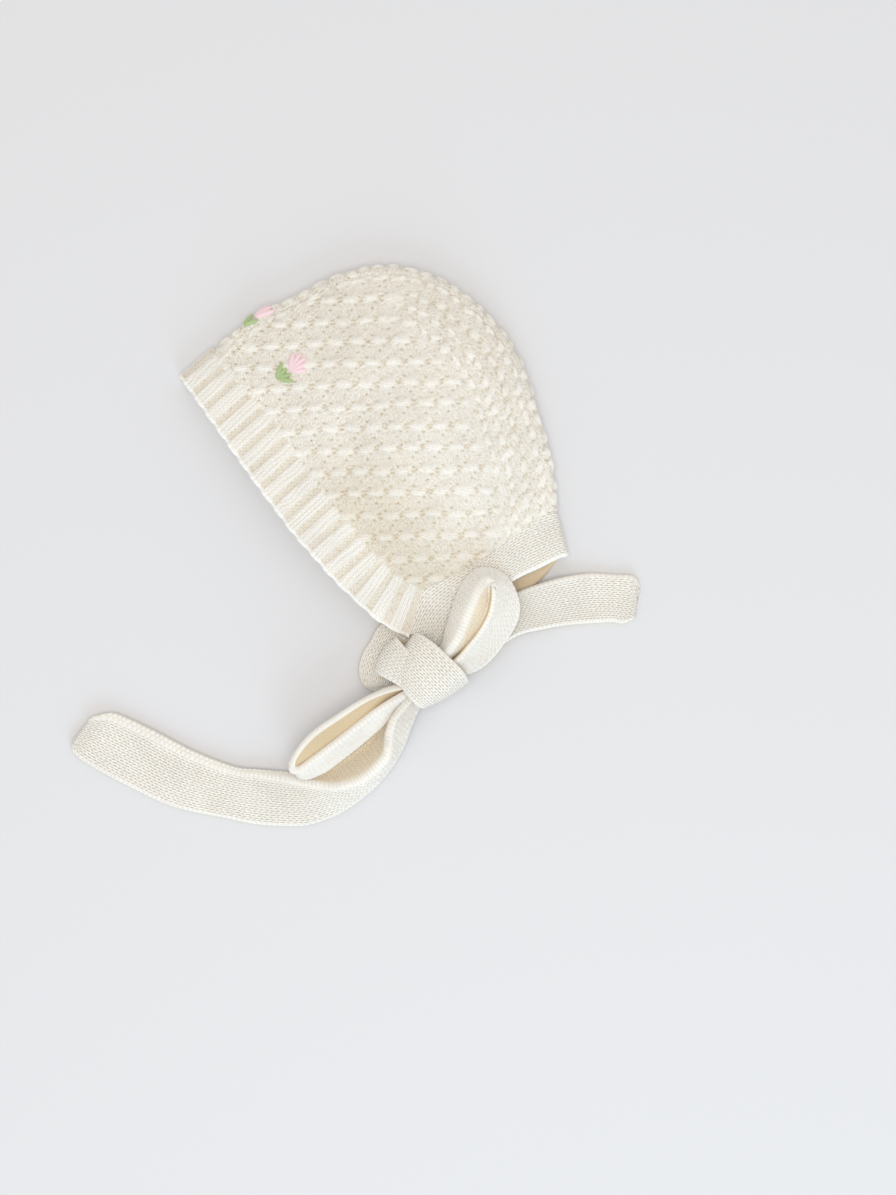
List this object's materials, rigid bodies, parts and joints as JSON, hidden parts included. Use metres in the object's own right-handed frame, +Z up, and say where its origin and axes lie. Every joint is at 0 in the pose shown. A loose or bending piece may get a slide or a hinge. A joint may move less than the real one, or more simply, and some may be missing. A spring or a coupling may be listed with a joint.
{
  "type": "knitted baby bonnet with tied ribbon ties",
  "caption": "Soft knitted baby bonnet with a ribbed brim, blister-stitch crown, plain neck band and long ties in a bow, with small embroidered rosebuds, lying on its side.",
  "frame": {"origin": "under the middle of the bonnet and its ties, on the surface that it lies on", "axes": "+X from the forehead fold to the neck edge, +Y from the brim to the back of the head, +Z up out of the surface"},
  "size_m": [0.2274, 0.2836, 0.0292],
  "materials": {
    "ivory_knit": "soft knitted cotton, matt",
    "pink_floss": "satin-stitched floss, soft sheen",
    "green_floss": "satin-stitched floss, soft sheen"
  },
  "bodies": {
    "root": {"crown": "ivory_knit", "brim": "ivory_knit", "neck_band": "ivory_knit", "far_tie": "ivory_knit", "knot_wrap": "ivory_knit", "knot_tuck": "ivory_knit", "upper_loop": "ivory_knit", "lower_loop": "ivory_knit", "left_tail": "ivory_knit", "right_tail": "ivory_knit", "side_bud_petals": "pink_floss", "side_bud_leaves": "green_floss", "top_bud_petals": "pink_floss", "top_bud_leaves": "green_floss"}
  },
  "joints": []
}
